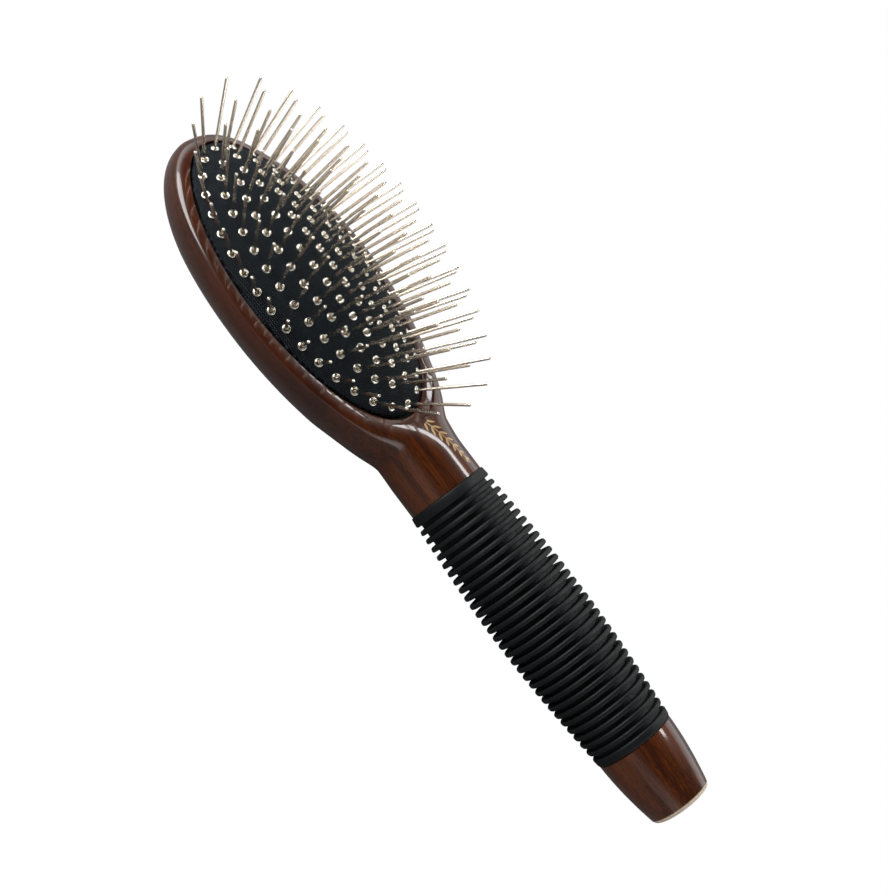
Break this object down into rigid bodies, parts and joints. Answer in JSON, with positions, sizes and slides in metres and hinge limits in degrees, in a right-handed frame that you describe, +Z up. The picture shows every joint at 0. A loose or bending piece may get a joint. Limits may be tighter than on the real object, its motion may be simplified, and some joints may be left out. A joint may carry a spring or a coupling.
{
  "type": "cushion pin brush",
  "caption": "Pet grooming pin brush: oval wooden head with a domed rubber cushion of straight steel pins, round neck, ribbed rubber grip and tapered wooden butt.",
  "frame": {"origin": "middle of the bounding box's floor: the plane that the brush lies on, under the middle of its whole length, on its symmetry plane", "axes": "+X from the head to the butt of the handle, +Z up from the back of the head towards the pins, +Y to the right for a hand that holds the handle and looks at the head"},
  "size_m": [0.2438, 0.0745, 0.0558],
  "materials": {
    "lacquered_wood": "dark red-brown stain under clear gloss lacquer",
    "ribbed_rubber": "matte charcoal moulded rubber",
    "cushion_rubber": "matte black pneumatic cushion rubber",
    "woven_cloth": "navy-black plain-woven cloth bonded to the cushion",
    "pin_steel": "polished steel wire with rounded tips",
    "eyelet_metal": "bright plated eyelet"
  },
  "bodies": {
    "body": {"wooden_body": "lacquered_wood", "grip_sleeve": "ribbed_rubber", "rubber_cushion": "cushion_rubber", "cloth_face": "woven_cloth"},
    "ring_1": {"pins_ring_1_left": "pin_steel", "pins_ring_1_right": "pin_steel", "eyelets_ring_1_left": "eyelet_metal", "eyelets_ring_1_right": "eyelet_metal"},
    "ring_2": {"pins_ring_2_left": "pin_steel", "pins_ring_2_right": "pin_steel", "eyelets_ring_2_left": "eyelet_metal", "eyelets_ring_2_right": "eyelet_metal"},
    "ring_3": {"pins_ring_3_left": "pin_steel", "pins_ring_3_right": "pin_steel", "eyelets_ring_3_left": "eyelet_metal", "eyelets_ring_3_right": "eyelet_metal"},
    "ring_4": {"pins_ring_4_left": "pin_steel", "pins_ring_4_right": "pin_steel", "eyelets_ring_4_left": "eyelet_metal", "eyelets_ring_4_right": "eyelet_metal"},
    "centre_row": {"pins_centre_row": "pin_steel", "eyelets_centre_row": "eyelet_metal"}
  },
  "joints": [
    {"name": "press_centre_row", "type": "slide", "parent": "body", "child": "centre_row", "axis": [0, 0, -1], "range_m": [0, 0.0035], "stiffness_N_per_m": 5700, "deforming": ["cloth_face", "rubber_cushion"]},
    {"name": "press_ring_4", "type": "slide", "parent": "body", "child": "ring_4", "axis": [0, 0, -1], "range_m": [0, 0.00288]},
    {"name": "press_ring_3", "type": "slide", "parent": "body", "child": "ring_3", "axis": [0, 0, -1], "range_m": [0, 0.00236]},
    {"name": "press_ring_2", "type": "slide", "parent": "body", "child": "ring_2", "axis": [0, 0, -1], "range_m": [0, 0.00166]},
    {"name": "press_ring_1", "type": "slide", "parent": "body", "child": "ring_1", "axis": [0, 0, -1], "range_m": [0, 0.00085]}
  ],
  "couplings": [
    {"joint": "press_ring_4", "follows": "press_centre_row", "ratio": 0.82},
    {"joint": "press_ring_3", "follows": "press_centre_row", "ratio": 0.67},
    {"joint": "press_ring_2", "follows": "press_centre_row", "ratio": 0.47},
    {"joint": "press_ring_1", "follows": "press_centre_row", "ratio": 0.24}
  ]
}
